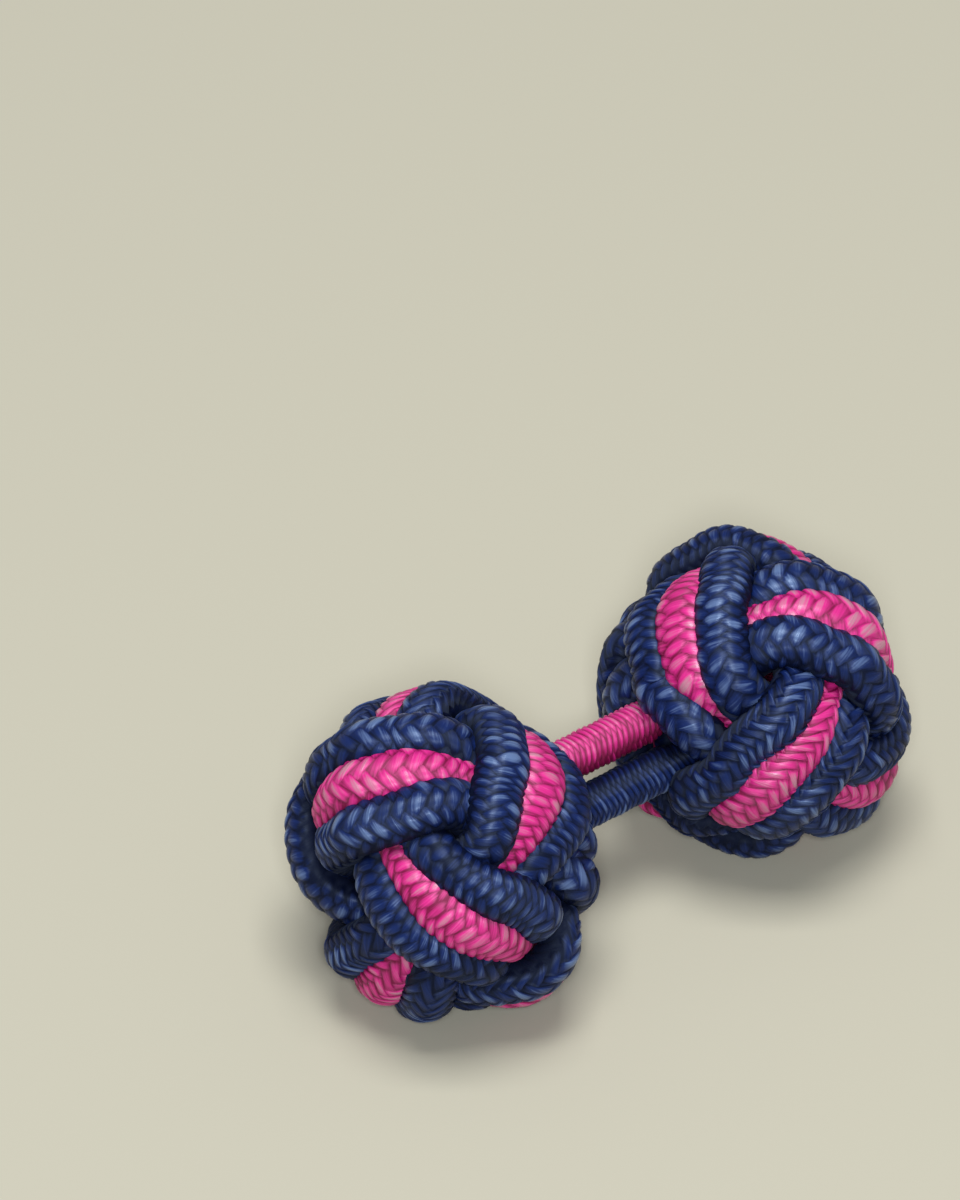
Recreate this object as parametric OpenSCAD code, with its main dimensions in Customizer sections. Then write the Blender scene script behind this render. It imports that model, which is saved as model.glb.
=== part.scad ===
// Knot cufflink: two woven knots of elastic braided cord, joined by a short stem of two cords.
// Each knot is a Turk's head of four leads and three bights, laid up with three cords in parallel.
// The stem runs along X and Z is up. The origin is on the ground, below the middle of the whole.

/* [Cord] */
// Thickness of the braided cord in the stem
cord_d = 1.64; // [1.50:0.02:1.66]
// Thickness of the cord where it is pulled tight in the knots
tight_cord_d = 1.56; // [1.40:0.02:1.60]
// Air between neighbouring cords
cord_gap = 0.06; // [0.04:0.01:0.10]

/* [Knots] */
// Mean radius of the weave, to the middle of the cords
weave_r = 4.5; // [4.40:0.02:4.60]
// Rise of a cord above the mean radius where it passes over, and its drop where it passes under
weave_rise = 0.94; // [0.92:0.01:0.98]
// Share of a knot's full size that is left along the stem
knot_squash = 0.84; // [0.82:0.01:0.88]
// Latitude at which a cord turns back
bight_latitude = 65; // [63:1:67]
// Angle between the middle cord and the cord at its side
lane_angle = 16.8; // [16:0.2:17]
// Distance between the centres of the two knots
knot_spacing = 14; // [13.6:0.1:16]

/* [Knot posture] */
// Angle from the left knot's pole to the stem
left_lean = 88; // [85:1:91]
// Angle from the right knot's pole to the stem
right_lean = 80; // [77:1:83]
// Turn of the left knot about the stem
left_roll = -13; // [-16:1:-10]
// Turn of the right knot about the stem
right_roll = 35; // [32:1:38]
// Turn of both knots about their poles
pole_turn = -2.5; // [-4:0.5:-1]

/* [Stem] */
// Width of the slit between the pink cord and the navy cord
stem_slit = 0.18; // [0.06:0.02:0.30]
// Turn of the pair of cords about the stem, from pink above navy
stem_roll = -49; // [-60:1:-40]
// How far the weave opens for the stem
opening_gain = 0.8; // [0.6:0.05:1]
// Angle over which the opening fades
opening_reach = 29; // [27:1:32]

/* [Rest] */
// Drop from a knot's centre to the middle of the cords that it rests on, which its weight levels
rest_drop = 5; // [4.90:0.05:5.10]

/* [Hidden] */
pink = "#C4307C";
navy = "#26365F";
bights = 3;
leads = 4;
rings = 120;
sides = 8;
ring_step = 360 / rings;
probe = 0.2;
// Rings to each side of a ring that count as the same stretch of cord
own_rings = 6;
// Most that a squeezed cord is thicker than wide
squeeze = 1.6;
// Polar angle of the face of the weave that the stem passes through
face_polar = 51;
// Angle over which the turn of that face towards the stem fades
face_reach = 52.5;
// Shift of the crossings along the cord, and its share for the side lanes
phase_shift = 37;
lane_phase = 1.25;
// Ripple of a cord's latitude and of its longitude, which rounds the bights and straightens the rest
latitude_ripple = 0.77;
longitude_ripple = 3.4;
// Steps in which the weave is pulled tight, and the pull and push in each step
tight_steps = 50;
tension = 0.04;
press_give = 0.3;
// Distance at which cords start to press on each other, and at which they are looked for
press_d = 1.5;
press_reach = 2.6;
// Radii between which the cords' middles stay
core_r = 3.3;
shell_r = 5.65;
// Distance from the stem's middle that the weave's cords keep
stem_room = 2.3;
// How flat the cord lies while it passes over or under
flatness = 0.81;
// Share of a cord's thickness that is left below its middle where it touches the ground
pressed_share = 0.42;

function unit(v) = v / norm(v);
function limit(x) = max(-1, min(1, x));

// Vector v turned by an angle about a unit axis
function turned(v, axis, angle) =
    v * cos(angle) + cross(axis, v) * sin(angle) + axis * (axis * v) * (1 - cos(angle));

// Direction of the middle cord from the knot's centre, at turn s of its closed path
function lead_dir(s) =
    let (lat = bight_latitude * cos(bights * s) - latitude_ripple * cos(9 * s))
    let (lon = leads * s + longitude_ripple * sin(6 * s))
    [cos(lat) * cos(lon), cos(lat) * sin(lon), sin(lat)];

// Direction of a lane beside it: -1, 0 or 1
function lane_dir(s, lane) =
    let (u = lead_dir(s))
    let (along = unit(lead_dir(s + probe) - lead_dir(s - probe)))
    u * cos(lane * lane_angle) + cross(u, along) * sin(lane * lane_angle);

// Over and under: 1 at the top of a pass and -1 at the bottom
function wave(x) = sin(x) * sqrt((1 + flatness) / (1 + flatness * pow(sin(x), 2)));
function height(s, lane) =
    let (t = s - lane * lane_phase * sin(bights * s))
    -wave(9 * t - phase_shift * sin(6 * t));

// The knot's own frame turned so that the stem leaves along +X
function to_stem(v, lean) =
    turned(turned(v, [0, 0, 1], -pole_turn), [0, 1, 0], 90 - lean);

// The face next to the stem is turned to meet it, and opened around it
function opened(v, lean) =
    let (face = to_stem([sin(face_polar), 0, cos(face_polar)], lean))
    let (axis = unit(cross(face, [1, 0, 0])))
    let (full_turn = acos(limit(face[0])))
    let (far = acos(limit(v * face)))
    let (w = turned(v, axis, full_turn * exp(-pow(far / face_reach, 2))))
    let (off = acos(limit(w[0])))
    let (wide = off * (1 + opening_gain * exp(-pow(off / opening_reach, 2))))
    let (flat = norm([w[1], w[2]]))
    [cos(wide), sin(wide) * w[1] / flat, sin(wide) * w[2] / flat];

function lane_radius(s, lane) = weave_r + weave_rise * height(s, lane);
function lane_point(s, lane, lean) =
    let (p = opened(to_stem(lane_dir(s, lane), lean), lean) * lane_radius(s, lane))
    [p[0] * knot_squash, p[1], p[2]];

// Points of the three lanes of one knot, one lane after the other, as they are first laid
function laid_points(lean) = [
    for (lane = [-1:1]) for (i = [0:rings - 1]) lane_point(i * ring_step, lane, lean)
];

// Whether points a and b lie on the same short stretch of one cord
function same_stretch(a, b) =
    let (apart = abs(a - b))
    floor(a / rings) == floor(b / rings) && min(apart, rings - apart) < own_rings;

// For each point, the points of other stretches that may press on it
function neighbours(points) = [
    for (a = [0:len(points) - 1]) [
        for (b = [0:len(points) - 1])
            if (norm(points[a] - points[b]) < press_reach && !same_stretch(a, b)) b
    ]
];

function total(vectors) = len(vectors) == 0 ? [0, 0, 0] : [for (v = vectors) 1] * vectors;
function next(a, by) = floor(a / rings) * rings + (a + by + rings) % rings;

// Cords that press on point a push it away
function pushed(points, a, near) = total([
    for (b = near)
        let (away = points[a] - points[b])
        if (norm(away) < press_d) away * (press_d / norm(away) - 1) * press_give
]);

// The stem keeps its passage along +X open, and moves a cord there sideways
function beside_stem(p, clear, along) =
    let (off = norm([p[1], p[2]]))
    let (away = [0, p[1], p[2]] / off)
    p[0] > 0 && off < clear ? p + (away - along * (away * along)) * (clear - off) : p;

// The weave stays between the core and the outside of the knot
function held(p) =
    let (r = norm([p[0] / knot_squash, p[1], p[2]]))
    p * (1 + (max(core_r / r, min(1, shell_r / r)) - 1) / 2);

// The underside is level where the knot rests on the ground
function rested(p, down) = p - down * max(0, p * down - rest_drop);

function tightened_step(points, near, down, clear) = [
    for (a = [0:len(points) - 1])
        let (before = points[next(a, -1)])
        let (after = points[next(a, 1)])
        let (pull = ((before + after) / 2 - points[a]) * tension)
        let (moved = points[a] + pushed(points, a, near[a]) + pull)
        beside_stem(rested(held(moved), down), clear, unit(after - before))
];

// The weave is pulled tight in small steps
function tightened(points, near, down, step = 1) = step > tight_steps ? points
    : tightened(tightened_step(points, near, down, stem_room * min(1, 2 * step / tight_steps)),
        near, down, step + 1);

// Centres of the three lanes at every ring of one knot, with the stem leaving along +X
function lane_points(lean, down) =
    let (laid = laid_points(lean))
    let (tight = tightened(laid, neighbours(laid), down))
    [for (row = [0:2]) [for (i = [0:rings - 1]) tight[row * rings + i]]];

// Distance from point p to the straight stretch from a to b
function stretch_gap(p, a, b) =
    let (t = max(0, min(1, (p - a) * (b - a) / ((b - a) * (b - a)))))
    norm(p - a - t * (b - a));

// Distance from point p to a lane, along the rings from first to last
function lane_gap(p, lane, first, last) = min([
    for (k = [first:last]) stretch_gap(p, lane[k % rings], lane[(k + 1) % rings])
]);

// Distance from a lane's ring i to the lane beside it
function beside(lanes, row, i) = min([
    for (other = row == 1 ? [0, 2] : [1])
        lane_gap(lanes[row][i], lanes[other], i + rings - own_rings, i + rings + own_rings - 1)
]);

// Distance from a lane's ring i to the nearest cord that crosses it
function crossing(lanes, row, i) = min([
    for (other = lanes) lane_gap(lanes[row][i], other, i + own_rings, i + rings - own_rings - 1)
]);

// One ring of the cord: across, half_w to each side; outwards, half the cord's thickness
function ring_points(centre, along, half_w, half_t) =
    let (out = unit(centre - along * (centre * along)))
    let (across = cross(out, along))
    [for (k = [0:sides - 1])
        let (a = (k + 0.5) * 360 / sides)
        centre + across * half_w * cos(a) + out * half_t * sin(a)];

// The cord gives way where others cross it or lie beside it
function cord_rings(lanes, row) = [
    for (i = [0:rings - 1])
        let (before = lanes[row][(i + rings - 1) % rings])
        let (after = lanes[row][(i + 1) % rings])
        let (side_room = beside(lanes, row, i) - cord_gap)
        let (thick = min(tight_cord_d, crossing(lanes, row, i) - cord_gap, squeeze * side_room))
        let (wide = min(thick, side_room))
        ring_points(lanes[row][i], unit(after - before), wide / 2, thick / 2)
];

// The cords are pressed flat where they touch the ground
function pressed(p) = [p[0], p[1], max(p[2], -rest_drop - pressed_share * tight_cord_d)];
// Left knot: rolled about the stem and moved to its place
function at_left(p) = pressed(turned(p, [1, 0, 0], left_roll) - [knot_spacing / 2, 0, 0]);
// Right knot: turned to face the left one, rolled about the stem and moved to its place
function at_right(p) =
    pressed(turned([-p[0], -p[1], p[2]], [1, 0, 0], right_roll) + [knot_spacing / 2, 0, 0]);

// The way down, seen from each knot before it is rolled
left_down = turned([0, 0, -1], [1, 0, 0], -left_roll);
right_down = turned([0, 0, -1], [1, 0, 0], -right_roll);

left_lanes = lane_points(left_lean, left_down);
right_lanes = lane_points(right_lean, [0, -right_down[1], right_down[2]]);
left_cords = [for (row = [0:2]) [for (r = cord_rings(left_lanes, row)) [for (p = r) at_left(p)]]];
right_cords = [for (row = [0:2]) [for (r = cord_rings(right_lanes, row)) [for (p = r) at_right(p)]]];

// The pair of knots is moved so that the middle of its underside is at the origin
function reach(cords, axis) = [for (c = cords) for (r = c) for (p = r) p[axis]];
knots_low = [for (axis = [0:2]) min(concat(reach(left_cords, axis), reach(right_cords, axis)))];
knots_high = [for (axis = [0:2]) max(concat(reach(left_cords, axis), reach(right_cords, axis)))];
stem_place = -[(knots_low[0] + knots_high[0]) / 2, (knots_low[1] + knots_high[1]) / 2, knots_low[2]];

// A closed cord through its rings
module loop_cord(cord) {
    n = len(cord);
    polyhedron(
        points = [for (r = cord) for (p = r) p + stem_place],
        faces = [for (i = [0:n - 1]) for (k = [0:sides - 1])
            let (j = (i + 1) % n)
            let (m = (k + 1) % sides)
            [i * sides + k, j * sides + k, j * sides + m, i * sides + m]]
    );
}

module knot_left_pink() { color(pink) loop_cord(left_cords[1]); }
module knot_left_navy_outer() { color(navy) loop_cord(left_cords[0]); }
module knot_left_navy_inner() { color(navy) loop_cord(left_cords[2]); }
module knot_right_pink() { color(pink) loop_cord(right_cords[1]); }
module knot_right_navy_outer() { color(navy) loop_cord(right_cords[0]); }
module knot_right_navy_inner() { color(navy) loop_cord(right_cords[2]); }

// How far each end of the stem reaches from the middle, into the hollow of the knot
stem_reach = knot_spacing / 2 - 1.8;
// Where the weave starts to grip the stem, and the cord's thickness there
grip_start = knot_spacing / 2 - 4.6;
grip_end = grip_start + 0.8;
grip_d = 0.8 * cord_d;

// A stem cord is round, and thinner at both ends where the weave grips it
module stem_cord(aside) {
    translate(stem_place)
        rotate([stem_roll, 0, 0])
            translate([0, 0, aside])
                rotate([0, 90, 0])
                    rotate_extrude($fn = 48)
                        polygon([
                            [0, -stem_reach], [grip_d / 2, -stem_reach], [grip_d / 2, -grip_end],
                            [cord_d / 2, -grip_start], [cord_d / 2, grip_start],
                            [grip_d / 2, grip_end], [grip_d / 2, stem_reach], [0, stem_reach]
                        ]);
}
module stem_pink() { color(pink) stem_cord((cord_d + stem_slit) / 2); }
module stem_navy() { color(navy) stem_cord(-(cord_d + stem_slit) / 2); }

knot_left_pink();
knot_left_navy_outer();
knot_left_navy_inner();
knot_right_pink();
knot_right_navy_outer();
knot_right_navy_inner();
stem_pink();
stem_navy();
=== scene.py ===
"""Knot cufflink: two woven knots of silky braided cord on a short stem of two cords.

Each knot is a Turk's head of four leads and three bights, laid up with three cords in parallel and
pulled tight. Every cord gets the plait of its braid as real relief, column by column and stitch by
stitch. All lengths are in metres and all angles in radians, as in the frame and in Blender.
"""

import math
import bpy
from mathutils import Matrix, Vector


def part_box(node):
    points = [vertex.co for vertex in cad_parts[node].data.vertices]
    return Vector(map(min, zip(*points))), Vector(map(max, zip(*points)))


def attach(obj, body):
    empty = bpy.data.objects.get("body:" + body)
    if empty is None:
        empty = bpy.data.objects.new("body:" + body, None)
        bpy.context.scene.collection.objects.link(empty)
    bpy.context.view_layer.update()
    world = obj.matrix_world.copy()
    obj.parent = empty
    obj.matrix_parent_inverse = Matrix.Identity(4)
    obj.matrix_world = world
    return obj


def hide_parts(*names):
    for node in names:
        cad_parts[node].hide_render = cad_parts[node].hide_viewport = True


bl_info = {
    "name": "Knot cufflink",
    "version": (1, 0, 0),
    "blender": (4, 5, 0),
    "location": "3D View > Sidebar > Cufflink",
    "description": "Builds a knot cufflink of braided cord around its frame",
    "category": "Add Mesh",
}

import bmesh
import bpy
import numpy as np
from bpy.props import FloatProperty, FloatVectorProperty, IntProperty, PointerProperty
from mathutils import Vector

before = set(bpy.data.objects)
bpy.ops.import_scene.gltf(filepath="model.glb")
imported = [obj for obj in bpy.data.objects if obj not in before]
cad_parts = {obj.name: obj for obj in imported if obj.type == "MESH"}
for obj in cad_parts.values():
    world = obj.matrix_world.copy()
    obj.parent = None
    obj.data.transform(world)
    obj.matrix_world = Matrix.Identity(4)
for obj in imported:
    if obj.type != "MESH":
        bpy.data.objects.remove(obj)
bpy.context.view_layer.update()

MM = 0.001
FULL_TURN = 2 * math.pi
X_AXIS = np.array([1.0, 0.0, 0.0])
Y_AXIS = np.array([0.0, 1.0, 0.0])
Z_AXIS = np.array([0.0, 0.0, 1.0])
# The right knot is turned half round to face the left one
FACING = np.array([-1.0, -1.0, 1.0])

# The weave of a knot: three lanes side by side on one closed path of leads and bights
LANES = (-1, 0, 1)
LEADS = 4
BIGHTS = 3
# How often a cord passes over on its way round
PASSES = BIGHTS * (LEADS - 1)
# Points of a lane before it is smoothed, and their places on the path, which is a full turn long
LANE_POINTS = 120
PATH = np.arange(LANE_POINTS) * FULL_TURN / LANE_POINTS
# Step along the path from which its direction is taken
PROBE = math.radians(0.2)
# Points of a lane that are nearer to each other along it than this are one stretch of cord
OWN_POINTS = 6
# Distance within which other stretches may come to press on a point
PRESS_REACH = 2.6 * MM
# Heights of the weave below which a cord is fully under, and above which it is fully over
UNDER_FROM = -0.2
OVER_FROM = 0.95

# The cords of a knot from its outer lane to its inner one, each with its material slot
CORDS_OF_KNOT = (("navy_outer", "navy_cord"), ("pink", "pink_cord"), ("navy_inner", "navy_cord"))
# Points of a knot's cord after it is smoothed, and of a stem's cord
CURVE_POINTS = 720
STEM_POINTS = 200
# Finer steps to a point, in which the length of a smooth curve is measured
FINE_STEPS = 20
# Reach, in points of the curve, over which a change of thickness is softened
SOFT_POINTS = 14
# Where the weave grips a stem cord, from the stem's middle, over what length, and how much it takes off
GRIP_START = 2.4 * MM
GRIP_LENGTH = 0.8 * MM
GRIP_SHARE = 0.2
# Turn of a stem cord's columns about the cord, as a share of a full turn
STEM_TURN = -0.045
# How often the slant of the stitches swings along a loop, and how often they bunch up
SWINGS = 7
BUNCHES = 11
# Vertices closer than this are welded
WELD = 0.0005 * MM

# Relief of a stitch across its column: how flat its back is, and how high its edges stay
BACK_POWER = 2.5
EDGE_SHARE = 0.3
# Relief of a stitch along the cord: how far its crest lies past the middle, and how full its ends are
CREST_POWER = 1.4
END_POWER = 2.3
END_FULLNESS = 0.8

# The silky finish: strength and turn of the satin band
SATIN = 0.75
SATIN_TURN = 0.25
# Roughness between the stitches, and its drop towards their crests
ROUGH_BETWEEN = 0.68
ROUGH_DROP = 0.4
# Filaments: how often they change across a column and along a row, and how much they change the tone
FILAMENTS_ACROSS = 0.9
FILAMENTS_ALONG = 8.0
FILAMENT_DETAIL = 3.0
FILAMENT_SPREAD = 0.9
# Height of the filaments, and how strongly they show
FILAMENT_HEIGHT = 0.035 * MM
FILAMENT_STRENGTH = 0.8
# Each stitch's own tone, and a slow drift of the tone along the cord
OWN_SPREAD = 0.28
DRIFT_SCALE = 350.0
DRIFT_DETAIL = 2.0
DRIFT_SPREAD = 0.5
# Place of the stitch's own colour between the painted shade's and the painted highlight's
STITCH_PLACE = 0.6

# The picture in pixels, and the nearest that the camera sees
PICTURE_WIDE = 960
PICTURE_HIGH = 1200
NEAREST_SEEN = 0.01
# Side and surface of the floor
FLOOR_SIZE = 1.2
FLOOR_ROUGHNESS = 0.9
FLOOR_GLOSS = 0.1
# Tints of the sky and the light overhead, and of the light at the camera
WARM = (1.0, 0.99, 0.96)
COOL = (0.95, 0.97, 1.0)
Z_UP = Vector((0, 0, 1))


class WeaveSettings(bpy.types.PropertyGroup):
    """Shape of the weave"""

    radius: FloatProperty(
        name="Radius", default=4.5 * MM, subtype="DISTANCE",
        description="Mean radius of the weave, to the middle of the cords",
    )
    rise: FloatProperty(
        name="Rise", default=0.94 * MM, subtype="DISTANCE",
        description="Rise of a cord that passes over, and drop of one that passes under",
    )
    squash: FloatProperty(
        name="Squash", default=0.84, subtype="FACTOR", min=0.0, max=1.0,
        description="Share of a knot's full size that is left along the stem",
    )
    bight_latitude: FloatProperty(
        name="Bight latitude", default=math.radians(65.0), subtype="ANGLE",
        description="Latitude at which a cord turns back",
    )
    lane_angle: FloatProperty(
        name="Lane angle", default=math.radians(16.8), subtype="ANGLE",
        description="Angle between cords side by side",
    )
    latitude_ripple: FloatProperty(
        name="Latitude ripple", default=math.radians(0.77), subtype="ANGLE",
        description="Ripple of a cord's latitude, which rounds the bights",
    )
    longitude_ripple: FloatProperty(
        name="Longitude ripple", default=math.radians(3.4), subtype="ANGLE",
        description="Ripple of a cord's longitude, which straightens the leads",
    )
    phase_shift: FloatProperty(
        name="Phase shift", default=math.radians(37.0), subtype="ANGLE",
        description="Shift of the crossings along the cord",
    )
    lane_phase: FloatProperty(
        name="Lane phase", default=math.radians(1.25), subtype="ANGLE",
        description="Further shift of the crossings in the lanes at the sides",
    )
    flatness: FloatProperty(
        name="Flatness", default=0.81, subtype="FACTOR", min=0.0, max=1.0,
        description="How flat a cord lies while it passes over or under",
    )
    pole_turn: FloatProperty(
        name="Pole turn", default=math.radians(-2.5), subtype="ANGLE",
        description="Turn of both knots about their poles",
    )
    face_polar: FloatProperty(
        name="Face angle", default=math.radians(51.0), subtype="ANGLE",
        description="Polar angle of the face of the weave that the stem passes through",
    )
    face_reach: FloatProperty(
        name="Face reach", default=math.radians(52.5), subtype="ANGLE",
        description="Angle over which the turn of that face towards the stem fades",
    )
    opening_gain: FloatProperty(
        name="Opening gain", default=0.8, subtype="FACTOR", min=0.0, max=1.0,
        description="How far the weave opens for the stem",
    )
    opening_reach: FloatProperty(
        name="Opening reach", default=math.radians(29.0), subtype="ANGLE",
        description="Angle over which the opening fades",
    )


class TightSettings(bpy.types.PropertyGroup):
    """How the weave is pulled tight"""

    steps: IntProperty(
        name="Steps", default=50,
        description="Steps in which the weave is pulled tight",
    )
    tension: FloatProperty(
        name="Tension", default=0.04, subtype="FACTOR", min=0.0, max=1.0,
        description="Share of the way to its neighbours' middle that a point is pulled in a step",
    )
    give: FloatProperty(
        name="Give", default=0.3, subtype="FACTOR", min=0.0, max=1.0,
        description="Share of the push between two cords that is taken up in a step",
    )
    press: FloatProperty(
        name="Press distance", default=1.5 * MM, subtype="DISTANCE",
        description="Distance at which cords start to press on each other",
    )
    core: FloatProperty(
        name="Core radius", default=3.3 * MM, subtype="DISTANCE",
        description="Least distance of a cord's middle from the knot's centre",
    )
    shell: FloatProperty(
        name="Shell radius", default=5.65 * MM, subtype="DISTANCE",
        description="Most distance of a cord's middle from the knot's centre",
    )
    stem_room: FloatProperty(
        name="Stem room", default=2.3 * MM, subtype="DISTANCE",
        description="Distance from the stem's middle that the weave's cords keep",
    )
    rest_drop: FloatProperty(
        name="Rest drop", default=5.0 * MM, subtype="DISTANCE",
        description="Drop from a knot's centre to the middle of the cords that it rests on",
    )


class PostureSettings(bpy.types.PropertyGroup):
    """How the two knots stand on the stem"""

    spacing: FloatProperty(
        name="Spacing", default=14.0 * MM, subtype="DISTANCE",
        description="Distance between the centres of the two knots",
    )
    left_lean: FloatProperty(
        name="Left lean", default=math.radians(88.0), subtype="ANGLE",
        description="Angle from the left knot's pole to the stem",
    )
    right_lean: FloatProperty(
        name="Right lean", default=math.radians(80.0), subtype="ANGLE",
        description="Angle from the right knot's pole to the stem",
    )
    left_roll: FloatProperty(
        name="Left roll", default=math.radians(-13.0), subtype="ANGLE",
        description="Turn of the left knot about the stem",
    )
    right_roll: FloatProperty(
        name="Right roll", default=math.radians(35.0), subtype="ANGLE",
        description="Turn of the right knot about the stem",
    )


class BraidSettings(bpy.types.PropertyGroup):
    """The cord and its braid"""

    cord: FloatProperty(
        name="Cord", default=1.68 * MM, subtype="DISTANCE",
        description="Thickness of the braided cord",
    )
    width: FloatProperty(
        name="Width", default=2.05 * MM, subtype="DISTANCE",
        description="Width of a cord in the knots, where it is pressed flat",
    )
    least: FloatProperty(
        name="Least thickness", default=1.15 * MM, subtype="DISTANCE",
        description="Thickness of a cord where it is squeezed most",
    )
    give: FloatProperty(
        name="Give", default=0.22 * MM, subtype="DISTANCE",
        description="How far cords that cross are pressed into each other",
    )
    column_sides: IntProperty(
        name="Sides per column", default=6,
        description="Faces of the mesh across a column of stitches",
    )
    row_rings: IntProperty(
        name="Rings per row", default=6,
        description="Rings of the mesh to a row of stitches, an even number",
    )
    knot_columns: IntProperty(
        name="Knot columns", default=8,
        description="Columns of stitches around a cord of a knot, an even number",
    )
    knot_pitch: FloatProperty(
        name="Knot pitch", default=0.46 * MM, subtype="DISTANCE",
        description="Distance from one row of stitches to the next along a cord of a knot",
    )
    knot_slant: FloatProperty(
        name="Knot slant", default=0.62,
        description="Slant of a stitch in a knot, in rows along the cord",
    )
    slant_swing: FloatProperty(
        name="Slant swing", default=0.65, subtype="FACTOR", min=0.0, max=1.0,
        description="Share by which the slant changes along a loop",
    )
    pitch_swing: FloatProperty(
        name="Pitch swing", default=0.22, subtype="FACTOR", min=0.0, max=1.0,
        description="Share by which the distance between rows changes along a loop",
    )
    twist: IntProperty(
        name="Twist", default=2,
        description="Full turns of the columns about the cord along a whole loop",
    )
    stem_columns: IntProperty(
        name="Stem columns", default=6,
        description="Columns of stitches around a cord of the stem, an even number",
    )
    stem_pitch: FloatProperty(
        name="Stem pitch", default=0.235 * MM, subtype="DISTANCE",
        description="Distance from one row of stitches to the next along a stem cord",
    )
    stem_slant: FloatProperty(
        name="Stem slant", default=0.75,
        description="Slant of a stitch in the stem, in rows along the cord",
    )
    relief: FloatProperty(
        name="Relief", default=0.095 * MM, subtype="DISTANCE",
        description="Height of a stitch over the valleys around it",
    )
    interlock: FloatProperty(
        name="Interlock", default=0.22, subtype="FACTOR", min=0.0, max=1.0,
        description="How far a stitch reaches between two stitches of the next column",
    )
    unevenness: FloatProperty(
        name="Unevenness", default=0.4, subtype="FACTOR", min=0.0, max=1.0,
        description="Spread of the stitches' heights",
    )
    closing: FloatProperty(
        name="Closing", default=0.3 * MM, subtype="DISTANCE",
        description="How far the navy cords close over the pink one where they go under",
    )
    bulging: FloatProperty(
        name="Bulging", default=0.08 * MM, subtype="DISTANCE",
        description="How far the pink cord bulges out where it passes over",
    )
    sinking: FloatProperty(
        name="Sinking", default=0.3 * MM, subtype="DISTANCE",
        description="How far the pink cord sinks where it goes under",
    )
    pink_share: FloatProperty(
        name="Pink share", default=1.08,
        description="Width of the pink cord where it passes over, as a share of a navy cord's",
    )
    narrowing: FloatProperty(
        name="Narrowing", default=0.32, subtype="FACTOR", min=0.0, max=1.0,
        description="How much of that share the pink cord loses where it goes under",
    )
    # Painted shade: these three darken the cords' colour at a knot's flanks, on a stem cord's side towards
    # the other, and where a cord is squeezed
    flank_shade: FloatProperty(
        name="Flank shade", default=0.8,
        description="How much darker a knot's cord is at its sides",
    )
    stem_shade: FloatProperty(
        name="Stem shade", default=0.17,
        description="How much darker a stem cord is on the side that faces the other one",
    )
    squeeze_shade: FloatProperty(
        name="Squeeze shade", default=1.5,
        description="How much darker a cord is where it is squeezed",
    )


class FinishSettings(bpy.types.PropertyGroup):
    """Colours and gloss of the navy and the pink cord"""

    # Painted shade: a darker colour between the navy cord's stitches and where the flank and squeeze shade
    # reach
    navy_valley: FloatVectorProperty(
        name="Navy valley", subtype="COLOR", default=(0.001, 0.0026, 0.016),
        description="Colour of the navy cord between its stitches",
    )
    navy_stitch: FloatVectorProperty(
        name="Navy stitch", subtype="COLOR", default=(0.0052, 0.0152, 0.088),
        description="Colour of the navy cord's stitches",
    )
    # Painted highlight: a paler colour on the tops of the navy cord's stitches
    navy_painted_light: FloatVectorProperty(
        name="Navy crest", subtype="COLOR", default=(0.086, 0.135, 0.275),
        description="Colour on top of the navy cord's stitches, where light catches the filaments",
    )
    navy_sheen: FloatVectorProperty(
        name="Navy sheen", subtype="COLOR", default=(0.62, 0.78, 1.0),
        description="Tint of the navy cord's gloss",
    )
    navy_gloss: FloatProperty(
        name="Navy gloss", default=0.38, subtype="FACTOR", min=0.0, max=1.0,
        description="Strength of the navy cord's gloss",
    )
    # Painted shade: a darker colour between the pink cord's stitches and where the flank and squeeze shade
    # reach
    pink_valley: FloatVectorProperty(
        name="Pink valley", subtype="COLOR", default=(0.16, 0.0018, 0.042),
        description="Colour of the pink cord between its stitches",
    )
    pink_stitch: FloatVectorProperty(
        name="Pink stitch", subtype="COLOR", default=(0.58, 0.018, 0.215),
        description="Colour of the pink cord's stitches",
    )
    # Painted highlight: a paler colour on the tops of the pink cord's stitches
    pink_painted_light: FloatVectorProperty(
        name="Pink crest", subtype="COLOR", default=(0.43, 0.18, 0.26),
        description="Colour on top of the pink cord's stitches, where light catches the filaments",
    )
    pink_sheen: FloatVectorProperty(
        name="Pink sheen", subtype="COLOR", default=(1.0, 0.72, 0.88),
        description="Tint of the pink cord's gloss",
    )
    pink_gloss: FloatProperty(
        name="Pink gloss", default=0.7, subtype="FACTOR", min=0.0, max=1.0,
        description="Strength of the pink cord's gloss",
    )


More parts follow.
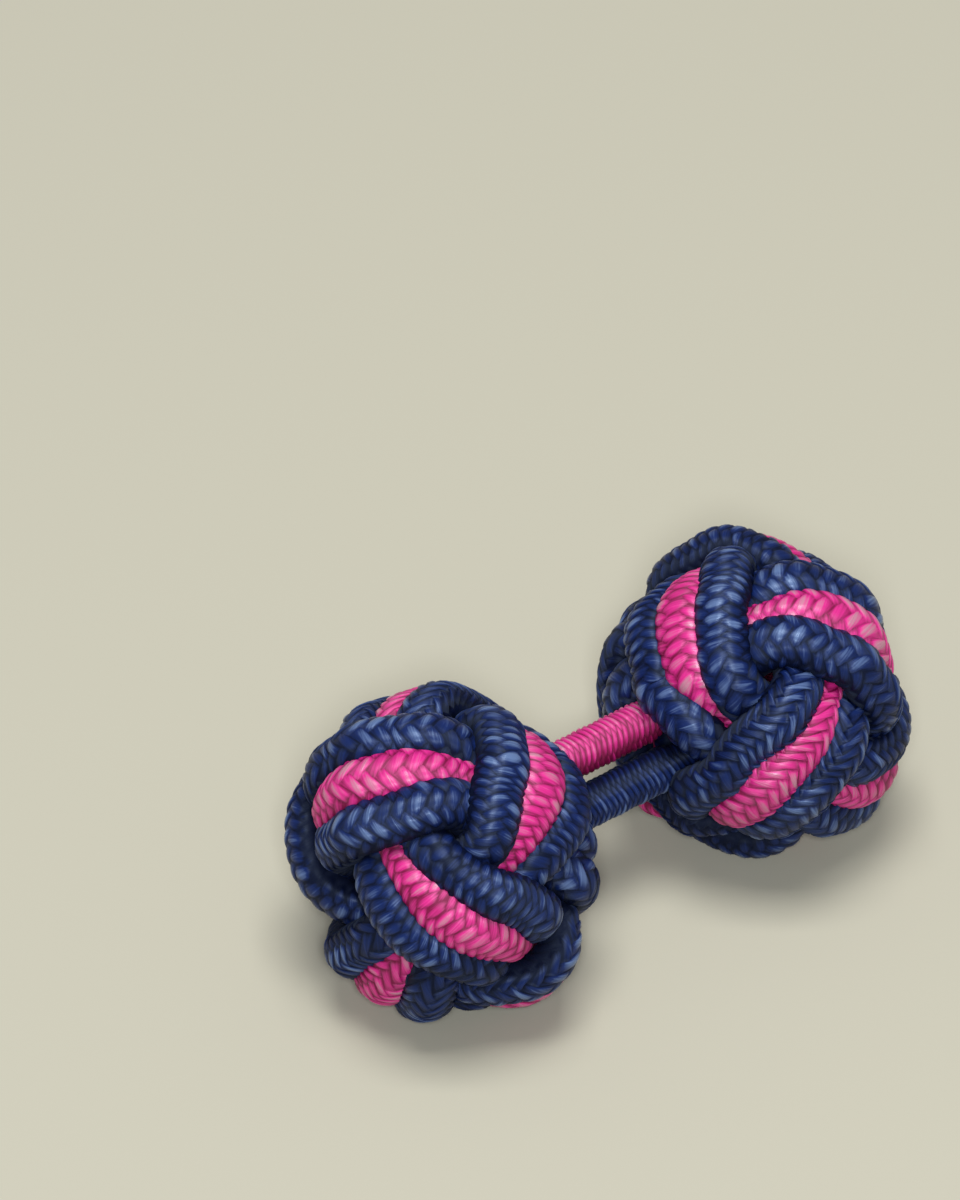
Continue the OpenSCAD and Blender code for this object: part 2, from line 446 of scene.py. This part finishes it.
class StageSettings(bpy.types.PropertyGroup):
    """Floor, light and camera"""

    elevation: FloatProperty(
        name="Elevation", default=math.radians(43.4), subtype="ANGLE",
        description="Angle by which the camera looks down",
    )
    heading: FloatProperty(
        name="Heading", default=math.radians(35.5), subtype="ANGLE",
        description="Direction in which the camera looks, from +Y towards +X",
    )
    distance: FloatProperty(
        name="Distance", default=0.45, subtype="DISTANCE",
        description="From the camera to the cufflink",
    )
    scale: FloatProperty(
        name="Scale", default=27.8,
        description="Pixels of the picture to the millimetre, at the stem's middle",
    )
    middle_across: FloatProperty(
        name="Middle across", default=600.1, subtype="PIXEL",
        description="Place of the stem's middle in the picture, from the left",
    )
    middle_down: FloatProperty(
        name="Middle down", default=771.5, subtype="PIXEL",
        description="Place of the stem's middle in the picture, from the top",
    )
    floor: FloatVectorProperty(
        name="Floor", subtype="COLOR", default=(0.394, 0.382, 0.315),
        description="Colour of the paper that the cufflink lies on",
    )
    key_height: FloatProperty(
        name="Key height", default=0.5, subtype="DISTANCE",
        description="Height of the light overhead above the stem",
    )
    key_forward: FloatProperty(
        name="Key forward", default=0.05, subtype="DISTANCE",
        description="Distance of the light overhead from above the stem, towards the camera",
    )
    key_size: FloatProperty(
        name="Key size", default=0.22, subtype="DISTANCE",
        description="Side of the square light overhead",
    )
    key_power: FloatProperty(
        name="Key power", default=2.4, subtype="POWER",
        description="Power of the light overhead",
    )
    fill_size: FloatProperty(
        name="Fill size", default=0.06, subtype="DISTANCE",
        description="Side of the square light at the camera",
    )
    fill_power: FloatProperty(
        name="Fill power", default=1.35, subtype="POWER",
        description="Power of the light at the camera",
    )
    sky: FloatProperty(
        name="Sky", default=0.3,
        description="Strength of the light from all around",
    )


def settings(name):
    """The settings of one group, as they stand in the scene."""
    return getattr(bpy.context.scene, "cufflink_" + name)


def unit(vectors):
    """The vectors at a length of 1."""
    return vectors / np.linalg.norm(vectors, axis=-1, keepdims=True)


def turned(vectors, axis, angle):
    """Vectors turned about a unit axis, by one angle or by one for each vector."""
    cosine, sine = np.cos(angle), np.sin(angle)
    if np.ndim(angle):
        cosine, sine = cosine[..., None], sine[..., None]
    along = axis * (vectors @ axis)[..., None]
    return vectors * cosine + np.cross(axis, vectors) * sine + along * (1 - cosine)


def lead_dir(s):
    """Direction of the middle cord from the knot's centre, at place s of its closed path."""
    weave = settings("weave")
    lat = weave.bight_latitude * np.cos(BIGHTS * s) - weave.latitude_ripple * np.cos(3 * BIGHTS * s)
    lon = LEADS * s + weave.longitude_ripple * np.sin(2 * BIGHTS * s)
    return np.stack([np.cos(lat) * np.cos(lon), np.cos(lat) * np.sin(lon), np.sin(lat)], axis=-1)


def lane_dir(s, lane):
    """Direction of a lane beside the middle one."""
    out = lead_dir(s)
    along = unit(lead_dir(s + PROBE) - lead_dir(s - PROBE))
    angle = lane * settings("weave").lane_angle
    return out * math.cos(angle) + np.cross(out, along) * math.sin(angle)


def height(s, lane):
    """Over and under: 1 at the top of a pass and -1 at the bottom."""
    weave = settings("weave")
    t = s - lane * weave.lane_phase * np.sin(BIGHTS * s)
    swing = np.sin(PASSES * t - weave.phase_shift * np.sin(2 * BIGHTS * t))
    return -swing * np.sqrt((1 + weave.flatness) / (1 + weave.flatness * swing**2))


def to_stem(vectors, lean):
    """The knot's own frame turned so that the stem leaves along +X."""
    upright = turned(vectors, Z_AXIS, -settings("weave").pole_turn)
    return turned(upright, Y_AXIS, FULL_TURN / 4 - lean)


def opened(vectors, lean):
    """The face next to the stem is turned to meet it, and opened around it."""
    weave = settings("weave")
    face = to_stem(np.array([math.sin(weave.face_polar), 0.0, math.cos(weave.face_polar)]), lean)
    axis = unit(np.cross(face, X_AXIS))
    full = np.arccos(np.clip(face[0], -1, 1))
    far = np.arccos(np.clip(vectors @ face, -1, 1))
    moved = turned(vectors, axis, full * np.exp(-((far / weave.face_reach) ** 2)))
    off = np.arccos(np.clip(moved[:, 0], -1, 1))
    wide = off * (1 + weave.opening_gain * np.exp(-((off / weave.opening_reach) ** 2)))
    around = unit(moved[:, 1:]) * np.sin(wide)[:, None]
    return np.column_stack([np.cos(wide), around])


def laid_points(lean):
    """Points of the three lanes of one knot, as they are first laid."""
    weave = settings("weave")
    lanes = []
    for lane in LANES:
        radius = weave.radius + weave.rise * height(PATH, lane)
        lanes.append(opened(to_stem(lane_dir(PATH, lane), lean), lean) * radius[:, None])
    return np.array(lanes) * [weave.squash, 1, 1]


def pressing_pairs(points):
    """Pairs of points on different stretches of cord that may press on each other."""
    flat = points.reshape(-1, 3)
    lane = np.repeat(np.arange(len(LANES)), LANE_POINTS)
    place = np.tile(np.arange(LANE_POINTS), len(LANES))
    apart = np.abs(place[:, None] - place[None])
    apart = np.minimum(apart, LANE_POINTS - apart)
    own = (lane[:, None] == lane[None]) & (apart < OWN_POINTS)
    near = np.linalg.norm(flat[:, None] - flat[None], axis=2) < PRESS_REACH
    return np.nonzero(near & ~own)


def tightened(points, down):
    """The weave pulled tight in small steps, open for the stem along +X and level on the ground."""
    tight = settings("tight")
    first, second = pressing_pairs(points)
    flat = points.reshape(-1, 3).copy()
    oval = np.array([settings("weave").squash, 1, 1])
    for step in range(1, tight.steps + 1):
        lanes = flat.reshape(points.shape)
        before, after = np.roll(lanes, 1, axis=1), np.roll(lanes, -1, axis=1)
        pull = (((before + after) / 2 - lanes) * tight.tension).reshape(-1, 3)
        along = unit((after - before).reshape(-1, 3))
        away = flat[first] - flat[second]
        push = np.maximum(tight.press / np.linalg.norm(away, axis=1) - 1, 0) * tight.give
        moved = flat + pull
        np.add.at(moved, first, away * push[:, None])
        # Half the way back between core and shell, and no lower than the ground lets the cords go
        r = np.linalg.norm(moved / oval, axis=1)
        held = np.maximum(tight.core / r, np.minimum(1, tight.shell / r))
        moved *= (1 + (held - 1) / 2)[:, None]
        moved -= down * np.maximum(moved @ down - tight.rest_drop, 0)[:, None]
        # Beside the stem, for which room is made in the first half of the steps
        clear = tight.stem_room * min(1, 2 * step / tight.steps)
        off = np.linalg.norm(moved[:, 1:], axis=1)
        out = np.column_stack([np.zeros(len(moved)), moved[:, 1] / off, moved[:, 2] / off])
        aside = out - along * (out * along).sum(axis=1)[:, None]
        short = np.where((moved[:, 0] > 0) & (off < clear), clear - off, 0)
        flat = moved + aside * short[:, None]
    return flat.reshape(points.shape)


def closed_over(lanes):
    """The lanes, with navy closed over pink where they go under, and each point's share of the width."""
    braid = settings("braid")
    heights = np.array([height(PATH, lane) for lane in LANES])
    under = 1 - np.clip((heights - UNDER_FROM) / (OVER_FROM - UNDER_FROM), 0, 1)
    under = under**2 * (3 - 2 * under)
    outer, pink, inner = lanes
    moved = np.array([
        outer + unit(pink - outer) * (under[0] * braid.closing)[:, None],
        pink + unit(pink) * (braid.bulging - under[1] * (braid.bulging + braid.sinking))[:, None],
        inner + unit(pink - inner) * (under[2] * braid.closing)[:, None],
    ])
    widths = np.ones(under.shape)
    widths[1] = braid.pink_share - under[1] * braid.narrowing
    return moved, widths


def smooth_loop(points, count):
    """A closed smooth curve through the points, at count places spaced evenly along it.

    The first three columns of the points are their places; what further columns hold is carried along.
    """

    def through(places):
        index = np.floor(places).astype(int)
        u = (places - index)[:, None]
        p0, p1, p2, p3 = (points[(index + k) % len(points)] for k in (-1, 0, 1, 2))
        slope = p2 - p0
        bend = 2 * p0 - 5 * p1 + 4 * p2 - p3
        rest = 3 * p1 - p0 - 3 * p2 + p3
        return (2 * p1 + slope * u + bend * u**2 + rest * u**3) / 2

    fine = np.linspace(0, len(points), FINE_STEPS * len(points) + 1)
    steps = np.linalg.norm(np.diff(through(fine)[:, :3], axis=0), axis=1)
    way = np.concatenate([[0], np.cumsum(steps)])
    return through(np.interp(np.arange(count) * way[-1] / count, way, fine))


def softened(values, reach):
    """Values around a closed cord, each averaged with its neighbours within reach."""
    window = np.hanning(2 * reach + 3)[1:-1]
    window /= window.sum()
    padded = np.concatenate([values[-reach:], values, values[:reach]])
    return np.convolve(padded, window, mode="valid")


def nearest_crossing(curves, row):
    """For each place of one cord, the distance to the nearest place of a cord that crosses it."""
    cord = curves[row]
    count = len(cord)
    place = np.arange(count)
    apart = np.abs(place[:, None] - place[None])
    crosses = np.minimum(apart, count - apart) > count * OWN_POINTS // LANE_POINTS
    nearest = []
    for other in curves:
        distance = np.linalg.norm(cord[:, None] - other[None], axis=2)
        nearest.append(np.where(crosses, distance, np.inf).min(axis=1))
    return np.min(nearest, axis=0)


def stitch_height(across, share):
    """Height of a stitch, 0 to 1, at a place across its column and along its row, both 0 to 1."""
    back = 1 - np.abs(2 * across - 1) ** BACK_POWER
    # The crest lies past the middle, so that each stitch laps over the next like a scale
    length = 1 - np.abs(2 * share**CREST_POWER - 1) ** END_POWER
    return length**END_FULLNESS * (EDGE_SHARE + (1 - EDGE_SHARE) * back)


def sampled(values, where, closed):
    """Values along a cord, at places counted in its points."""
    if closed:
        where = np.mod(where, len(values))
        values = np.concatenate([values, values[:1]])
    places = np.arange(len(values))
    if values.ndim == 1:
        return np.interp(where, places, values)
    return np.column_stack([np.interp(where, places, part) for part in values.T])


def cord_grid(name, rings, sides):
    """A cord unrolled: a mesh grid, and for each vertex its place along the rings and the sides."""
    bm = bmesh.new()
    bmesh.ops.create_grid(bm, x_segments=rings, y_segments=sides, size=0.5)
    mesh = bpy.data.meshes.new(name)
    bm.to_mesh(mesh)
    bm.free()
    grid = np.zeros(len(mesh.vertices) * 3)
    mesh.vertices.foreach_get("co", grid)
    grid = grid.reshape(-1, 3) + 0.5
    return mesh, np.rint(grid[:, 0] * rings), np.rint(grid[:, 1] * sides)


def stitch_bumps(ring, side, columns, rows):
    """Height of the braid, 0 to 1, at every vertex of an unrolled cord."""
    braid = settings("braid")
    column = np.floor_divide(side, braid.column_sides)
    across = side / braid.column_sides - column
    random = np.random.RandomState(columns * rows)
    tall = 1 - braid.unevenness * random.random_sample((columns, rows))

    def height_in(column, across):
        # Every other column is shifted by half a stitch
        row = ring / braid.row_rings + 0.5 * np.mod(column, 2)
        stitch = np.floor(row).astype(int) % rows
        own_tall = tall[column.astype(int) % columns, stitch]
        return stitch_height(across, np.mod(row, 1.0)) * own_tall

    own = height_in(column, across)
    # A vertex between two columns lies in the valley of both
    return np.where(across == 0, (own + height_in(column - 1, across + 1)) / 2, own)


def map_stitches(mesh, ring, side):
    """The UV map of the braid: U counts columns and V rows, so both are whole at a stitch's edge."""
    braid = settings("braid")
    corners = np.zeros(len(mesh.loops), dtype=np.int32)
    mesh.loops.foreach_get("vertex_index", corners)
    corner_side = side[corners].reshape(-1, 4)
    column = np.floor_divide(corner_side.mean(axis=1), braid.column_sides)
    corner_row = ring[corners].reshape(-1, 4) / braid.row_rings + 0.5 * np.mod(column, 2)[:, None]
    places = np.stack([corner_side / braid.column_sides, corner_row], axis=-1)
    mesh.uv_layers.new(name="stitches").data.foreach_set("uv", places.ravel())


def sewn_shut(mesh):
    """The grid's edges are welded into a tube or a loop, and any open end is filled."""
    bm = bmesh.new()
    bm.from_mesh(mesh)
    bmesh.ops.remove_doubles(bm, verts=bm.verts, dist=WELD)
    bmesh.ops.holes_fill(bm, edges=[edge for edge in bm.edges if edge.is_boundary], sides=0)
    bmesh.ops.recalc_face_normals(bm, faces=bm.faces)
    bm.to_mesh(mesh)
    bm.free()
    mesh.shade_smooth()


def braided_cord(name, centres, outs, wide, thick, columns, pitch, slant, finish, closed):
    """A cord along its centres, with every stitch of its braid raised.

    The rings of the mesh zigzag with the chevrons of the braid, so that a stitch's edges are mesh edges.
    """
    braid = settings("braid")
    count = len(centres)
    length = np.linalg.norm(np.diff(centres, axis=0), axis=1).sum()
    if closed:
        length *= count / (count - 1)
    rows = int(round(length / pitch))
    rings = rows * braid.row_rings
    sides = columns * braid.column_sides
    mesh, ring, side = cord_grid(name, rings, sides)

    share = ring / rings
    column, across = np.divmod(side / braid.column_sides, 1)
    slants = slant * (1 + braid.slant_swing * np.sin(FULL_TURN * SWINGS * share)) if closed else slant
    place = share + slants * (1 - 2 * np.mod(column, 2)) * (across - 0.5) / rows
    if closed:
        # The stitches are drawn out on some stretches and bunched on others
        place += braid.pitch_swing * np.sin(FULL_TURN * BUNCHES * share) / (FULL_TURN * BUNCHES)
    where = place * (count if closed else count - 1)

    if closed:
        tangents = np.roll(centres, -1, axis=0) - np.roll(centres, 1, axis=0)
    else:
        tangents = np.gradient(centres, axis=0)
    along = unit(sampled(unit(tangents), where, closed))
    out = sampled(unit(outs), where, closed)
    out = unit(out - along * (out * along).sum(axis=1)[:, None])
    # A stitch is widest at its middle, where it reaches between two stitches of the next column
    phase = FULL_TURN * (ring / braid.row_rings + 0.5 * np.mod(column, 2) - 0.5)
    reach = braid.interlock * np.cos(phase) * (2 * across - 1) / columns
    turn = FULL_TURN * (side / sides + reach + (braid.twist * place if closed else STEM_TURN))
    bumps = stitch_bumps(ring, side, columns, rows)
    lift = (bumps - 1) * braid.relief
    thickness = sampled(thick, where, closed)
    half_wide = sampled(wide, where, closed) / 2 + lift
    half_thick = thickness / 2 + lift
    points = sampled(centres, where, closed)
    points += np.cross(out, along) * (half_wide * np.cos(turn))[:, None]
    points += out * (half_thick * np.sin(turn))[:, None]
    # The cords are pressed flat where they touch the ground
    points[:, 2] = np.maximum(points[:, 2], 0)
    mesh.vertices.foreach_set("co", points.ravel())

    # Painted shade: little light reaches a cord where others squeeze it, or its flanks beside its
    # neighbours, so its colour is darkened there
    shade = braid.flank_shade if closed else braid.stem_shade
    lit = bumps - braid.squeeze_shade * (1 - thickness / braid.cord) - shade * (1 - np.sin(turn)) ** 2
    # The painted light level, the stitches' heights less the painted shade, picks the cord's colour
    mesh.attributes.new("painted_light", "FLOAT", "POINT").data.foreach_set("value", lit)
    map_stitches(mesh, ring, side)
    sewn_shut(mesh)
    mesh.materials.append(finish)
    piece = bpy.data.objects.new(name, mesh)
    bpy.context.scene.collection.objects.link(piece)
    return piece


def fed(tree, node, values):
    """The first output of a node, whose inputs are given in order as sockets or numbers."""
    for socket, value in zip(node.inputs, values):
        if isinstance(value, (int, float)):
            socket.default_value = value
        else:
            tree.links.new(value, socket)
    return node.outputs[0]


def maths(tree, operation, *values):
    """The result of a math node on one or two sockets or numbers."""
    node = tree.nodes.new("ShaderNodeMath")
    node.operation = operation
    return fed(tree, node, values)


def joined(tree, x, y, z):
    """A vector made of three sockets or numbers."""
    return fed(tree, tree.nodes.new("ShaderNodeCombineXYZ"), (x, y, z))


def noise(tree, place, scale, detail):
    """A noise texture over a place, 0 to 1."""
    node = tree.nodes.new("ShaderNodeTexNoise")
    node.inputs["Scale"].default_value = scale
    node.inputs["Detail"].default_value = detail
    tree.links.new(place, node.inputs["Vector"])
    return node.outputs["Fac"]


def varied(tree, level, value, width):
    """The level moved up and down by a value of 0 to 1, over the given width."""
    spread = maths(tree, "MULTIPLY", maths(tree, "SUBTRACT", value, 0.5), width)
    return maths(tree, "ADD", level, spread)


def cord_finish(name, valley, stitch, painted_light, sheen, gloss):
    """Silky braid: painted shade between the stitches, a painted highlight on their crests, with filaments
    along their slant.
    """
    material = bpy.data.materials.new(name)
    material.use_nodes = True
    tree = material.node_tree
    nodes, links = tree.nodes, tree.links
    shader = nodes["Principled BSDF"]
    shader.inputs["Specular IOR Level"].default_value = gloss
    shader.inputs["Specular Tint"].default_value = (*sheen, 1)
    # Light glances off the filaments as off satin: a bright band across them
    shader.inputs["Anisotropic"].default_value = SATIN
    shader.inputs["Anisotropic Rotation"].default_value = SATIN_TURN
    tangent = nodes.new("ShaderNodeTangent")
    tangent.direction_type = "UV_MAP"
    tangent.uv_map = "stitches"
    links.new(tangent.outputs["Tangent"], shader.inputs["Tangent"])

    uv = nodes.new("ShaderNodeUVMap")
    uv.uv_map = "stitches"
    split = nodes.new("ShaderNodeSeparateXYZ")
    links.new(uv.outputs["UV"], split.inputs["Vector"])
    across, along = split.outputs["X"], split.outputs["Y"]
    column, row = maths(tree, "FLOOR", across), maths(tree, "FLOOR", along)

    # Filaments cross a column with the slant of its stitches, and each stitch has a tone of its own
    fine_across = maths(tree, "MULTIPLY", across, FILAMENTS_ACROSS)
    fine_along = maths(tree, "MULTIPLY", along, FILAMENTS_ALONG)
    filaments = noise(tree, joined(tree, fine_across, fine_along, column), 1.0, FILAMENT_DETAIL)
    own = nodes.new("ShaderNodeTexWhiteNoise")
    own.noise_dimensions = "2D"
    links.new(joined(tree, column, row, 0), own.inputs["Vector"])
    place = nodes.new("ShaderNodeTexCoord")
    drift = noise(tree, place.outputs["Object"], DRIFT_SCALE, DRIFT_DETAIL)

    # The painted light level: the stitches' heights less the painted shade, with tone noise on top
    lit = nodes.new("ShaderNodeAttribute")
    lit.attribute_name = "painted_light"
    level = varied(tree, lit.outputs["Fac"], filaments, FILAMENT_SPREAD)
    level = varied(tree, level, own.outputs["Value"], OWN_SPREAD)
    level = varied(tree, level, drift, DRIFT_SPREAD)
    # Painted shade at the bottom of the ramp, the stitch's own colour, and a painted highlight at the top
    ramp = nodes.new("ShaderNodeValToRGB")
    ramp.color_ramp.elements[0].color = (*valley, 1)
    ramp.color_ramp.elements[1].color = (*painted_light, 1)
    ramp.color_ramp.elements.new(STITCH_PLACE).color = (*stitch, 1)
    links.new(level, ramp.inputs["Fac"])
    links.new(ramp.outputs["Color"], shader.inputs["Base Color"])
    rough = maths(tree, "SUBTRACT", ROUGH_BETWEEN, maths(tree, "MULTIPLY", level, ROUGH_DROP))
    links.new(rough, shader.inputs["Roughness"])

    relief = nodes.new("ShaderNodeBump")
    relief.inputs["Strength"].default_value = FILAMENT_STRENGTH
    relief.inputs["Distance"].default_value = FILAMENT_HEIGHT
    links.new(filaments, relief.inputs["Height"])
    links.new(relief.outputs["Normal"], shader.inputs["Normal"])
    return material


def finish_named(slot):
    """The material of the slot navy_cord or pink_cord, made once."""
    colour = slot.removesuffix("_cord")
    name = colour + "_braid"
    if name in bpy.data.materials:
        return bpy.data.materials[name]
    finish = settings("finish")
    tones = [getattr(finish, f"{colour}_{tone}") for tone in ("valley", "stitch", "painted_light", "sheen", "gloss")]
    return cord_finish(name, *tones)


def stem_middle():
    """The middle of the stem in the frame."""
    low_a, high_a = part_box("stem_pink")
    low_b, high_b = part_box("stem_navy")
    return (np.minimum(low_a, low_b) + np.maximum(high_a, high_b)) / 2


def placed(points, knot, roll):
    """Points of a knot moved to its place: knot is -1 for the left one and 1 for the right one."""
    if knot > 0:
        points = points * FACING
    centre = stem_middle() + X_AXIS * knot * settings("posture").spacing / 2
    return turned(points, X_AXIS, roll) + centre


def keep(piece, node):
    """The piece stands for its node and rides on the frame."""
    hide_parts(node)
    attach(piece, "root")


def build_knot(side, knot, lean, roll):
    """The three cords of one knot."""
    braid = settings("braid")
    down = turned(-Z_AXIS, X_AXIS, -roll)
    if knot > 0:
        down = down * FACING
    lanes, widths = closed_over(tightened(laid_points(lean), down))
    loops = [smooth_loop(np.column_stack(lane), CURVE_POINTS) for lane in zip(lanes, widths)]
    curves = [loop[:, :3] for loop in loops]
    shares = [loop[:, 3] for loop in loops]
    centre = placed(np.zeros((1, 3)), knot, roll)
    for row, (label, slot) in enumerate(CORDS_OF_KNOT):
        room = nearest_crossing(curves, row) + braid.give
        thick = softened(np.clip(room, braid.least, braid.cord), SOFT_POINTS)
        wide = thick * shares[row] * braid.width / braid.cord
        centres = placed(curves[row], knot, roll)
        node = f"knot_{side}_{label}"
        piece = braided_cord(
            node + "_cord", centres, centres - centre, wide, thick,
            braid.knot_columns, braid.knot_pitch, braid.knot_slant, finish_named(slot), closed=True,
        )
        keep(piece, node)


class CUFFLINK_OT_left_knot(bpy.types.Operator):
    """Weaves the left knot of one pink and two navy cords"""

    bl_idname = "cufflink.left_knot"
    bl_label = "Left knot"

    def execute(self, context):
        posture = settings("posture")
        build_knot("left", -1, posture.left_lean, posture.left_roll)
        return {"FINISHED"}


class CUFFLINK_OT_right_knot(bpy.types.Operator):
    """Weaves the right knot of one pink and two navy cords"""

    bl_idname = "cufflink.right_knot"
    bl_label = "Right knot"

    def execute(self, context):
        posture = settings("posture")
        build_knot("right", 1, posture.right_lean, posture.right_roll)
        return {"FINISHED"}


class CUFFLINK_OT_stem(bpy.types.Operator):
    """Lays the pink and the navy cord of the stem between the knots"""

    bl_idname = "cufflink.stem"
    bl_label = "Stem"

    def execute(self, context):
        braid = settings("braid")
        middle = stem_middle()
        for node, slot in (("stem_pink", "pink_cord"), ("stem_navy", "navy_cord")):
            low, high = np.array(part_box(node))
            places = np.linspace(low[0], high[0], STEM_POINTS)
            centres = np.column_stack([places, np.tile((low + high)[1:] / 2, (STEM_POINTS, 1))])
            outs = np.tile(centres[0] - middle, (STEM_POINTS, 1)) * (Y_AXIS + Z_AXIS)
            grip = np.clip((np.abs(places - middle[0]) - GRIP_START) / GRIP_LENGTH, 0, 1)
            thick = braid.cord * (1 - GRIP_SHARE * grip)
            piece = braided_cord(
                node + "_cord", centres, outs, thick, thick,
                braid.stem_columns, braid.stem_pitch, braid.stem_slant, finish_named(slot), closed=False,
            )
            keep(piece, node)
        return {"FINISHED"}


def area_light(name, place, aim, size, power, colour):
    """A square soft light that shines from its place towards aim."""
    lamp = bpy.data.lights.new(name, "AREA")
    lamp.shape = "SQUARE"
    lamp.size = size
    lamp.energy = power
    lamp.color = colour
    light = bpy.data.objects.new(name, lamp)
    light.location = place
    light.rotation_euler = (aim - place).to_track_quat("-Z", "Y").to_euler()
    bpy.context.scene.collection.objects.link(light)


class CUFFLINK_OT_stage(bpy.types.Operator):
    """Sets up the floor, the soft light and the camera"""

    bl_idname = "cufflink.stage"
    bl_label = "Stage"

    def execute(self, context):
        stage = settings("stage")
        scene = context.scene
        bm = bmesh.new()
        bmesh.ops.create_grid(bm, x_segments=1, y_segments=1, size=FLOOR_SIZE / 2)
        mesh = bpy.data.meshes.new("floor")
        bm.to_mesh(mesh)
        bm.free()
        floor = bpy.data.objects.new("floor", mesh)
        scene.collection.objects.link(floor)
        paper = bpy.data.materials.new("paper")
        paper.use_nodes = True
        shader = paper.node_tree.nodes["Principled BSDF"]
        shader.inputs["Base Color"].default_value = (*stage.floor, 1)
        shader.inputs["Roughness"].default_value = FLOOR_ROUGHNESS
        shader.inputs["Specular IOR Level"].default_value = FLOOR_GLOSS
        mesh.materials.append(paper)

        level = Vector((math.sin(stage.heading), math.cos(stage.heading), 0))
        look = level * math.cos(stage.elevation) - Z_UP * math.sin(stage.elevation)
        right = look.cross(Z_UP).normalized()
        up = right.cross(look)
        middle = Vector(stem_middle())
        eye = middle - look * stage.distance
        across = (PICTURE_WIDE / 2 - stage.middle_across) / stage.scale * MM
        rise = (stage.middle_down - PICTURE_HIGH / 2) / stage.scale * MM
        camera = bpy.data.objects.new("camera", bpy.data.cameras.new("camera"))
        camera.location = eye + right * across + up * rise
        camera.rotation_euler = look.to_track_quat("-Z", "Y").to_euler()
        camera.data.sensor_fit = "HORIZONTAL"
        picture_width = PICTURE_WIDE / stage.scale * MM
        camera.data.lens = camera.data.sensor_width * stage.distance / picture_width
        camera.data.clip_start = NEAREST_SEEN
        scene.collection.objects.link(camera)
        scene.camera = camera

        overhead = middle + Z_UP * stage.key_height - level * stage.key_forward
        area_light("key", overhead, middle, stage.key_size, stage.key_power, WARM)
        area_light("fill", eye, middle, stage.fill_size, stage.fill_power, COOL)
        world = bpy.data.worlds.new("studio")
        world.use_nodes = True
        sky = world.node_tree.nodes["Background"]
        sky.inputs["Color"].default_value = (*WARM, 1)
        sky.inputs["Strength"].default_value = stage.sky
        scene.world = world
        scene.view_settings.view_transform = "Standard"
        return {"FINISHED"}


class CUFFLINK_PT_panel(bpy.types.Panel):
    """Lists the pieces of the cufflink and their settings"""

    bl_idname = "CUFFLINK_PT_panel"
    bl_label = "Knot cufflink"
    bl_space_type = "VIEW_3D"
    bl_region_type = "UI"
    bl_category = "Cufflink"

    def draw(self, context):
        column = self.layout.column(align=True)
        for operator in OPERATORS:
            column.operator(operator.bl_idname)
        for name, group in GROUPS.items():
            box = self.layout.box()
            box.label(text=name.capitalize())
            for key in group.__annotations__:
                box.prop(settings(name), key)


GROUPS = {
    "weave": WeaveSettings,
    "tight": TightSettings,
    "posture": PostureSettings,
    "braid": BraidSettings,
    "finish": FinishSettings,
    "stage": StageSettings,
}
OPERATORS = (CUFFLINK_OT_left_knot, CUFFLINK_OT_right_knot, CUFFLINK_OT_stem, CUFFLINK_OT_stage)


def register():
    """Makes the settings, the operators and the panel known to Blender."""
    for name, group in GROUPS.items():
        bpy.utils.register_class(group)
        setattr(bpy.types.Scene, "cufflink_" + name, PointerProperty(type=group))
    for operator in OPERATORS:
        bpy.utils.register_class(operator)
    bpy.utils.register_class(CUFFLINK_PT_panel)


def unregister():
    """Takes back what register did, in the opposite order."""
    bpy.utils.unregister_class(CUFFLINK_PT_panel)
    for operator in reversed(OPERATORS):
        bpy.utils.unregister_class(operator)
    for name, group in reversed(GROUPS.items()):
        delattr(bpy.types.Scene, "cufflink_" + name)
        bpy.utils.unregister_class(group)


def main():
    """Builds the cufflink and its stage."""
    register()
    bpy.ops.cufflink.left_knot()
    bpy.ops.cufflink.right_knot()
    bpy.ops.cufflink.stem()
    bpy.ops.cufflink.stage()


if __name__ == "__main__":
    main()
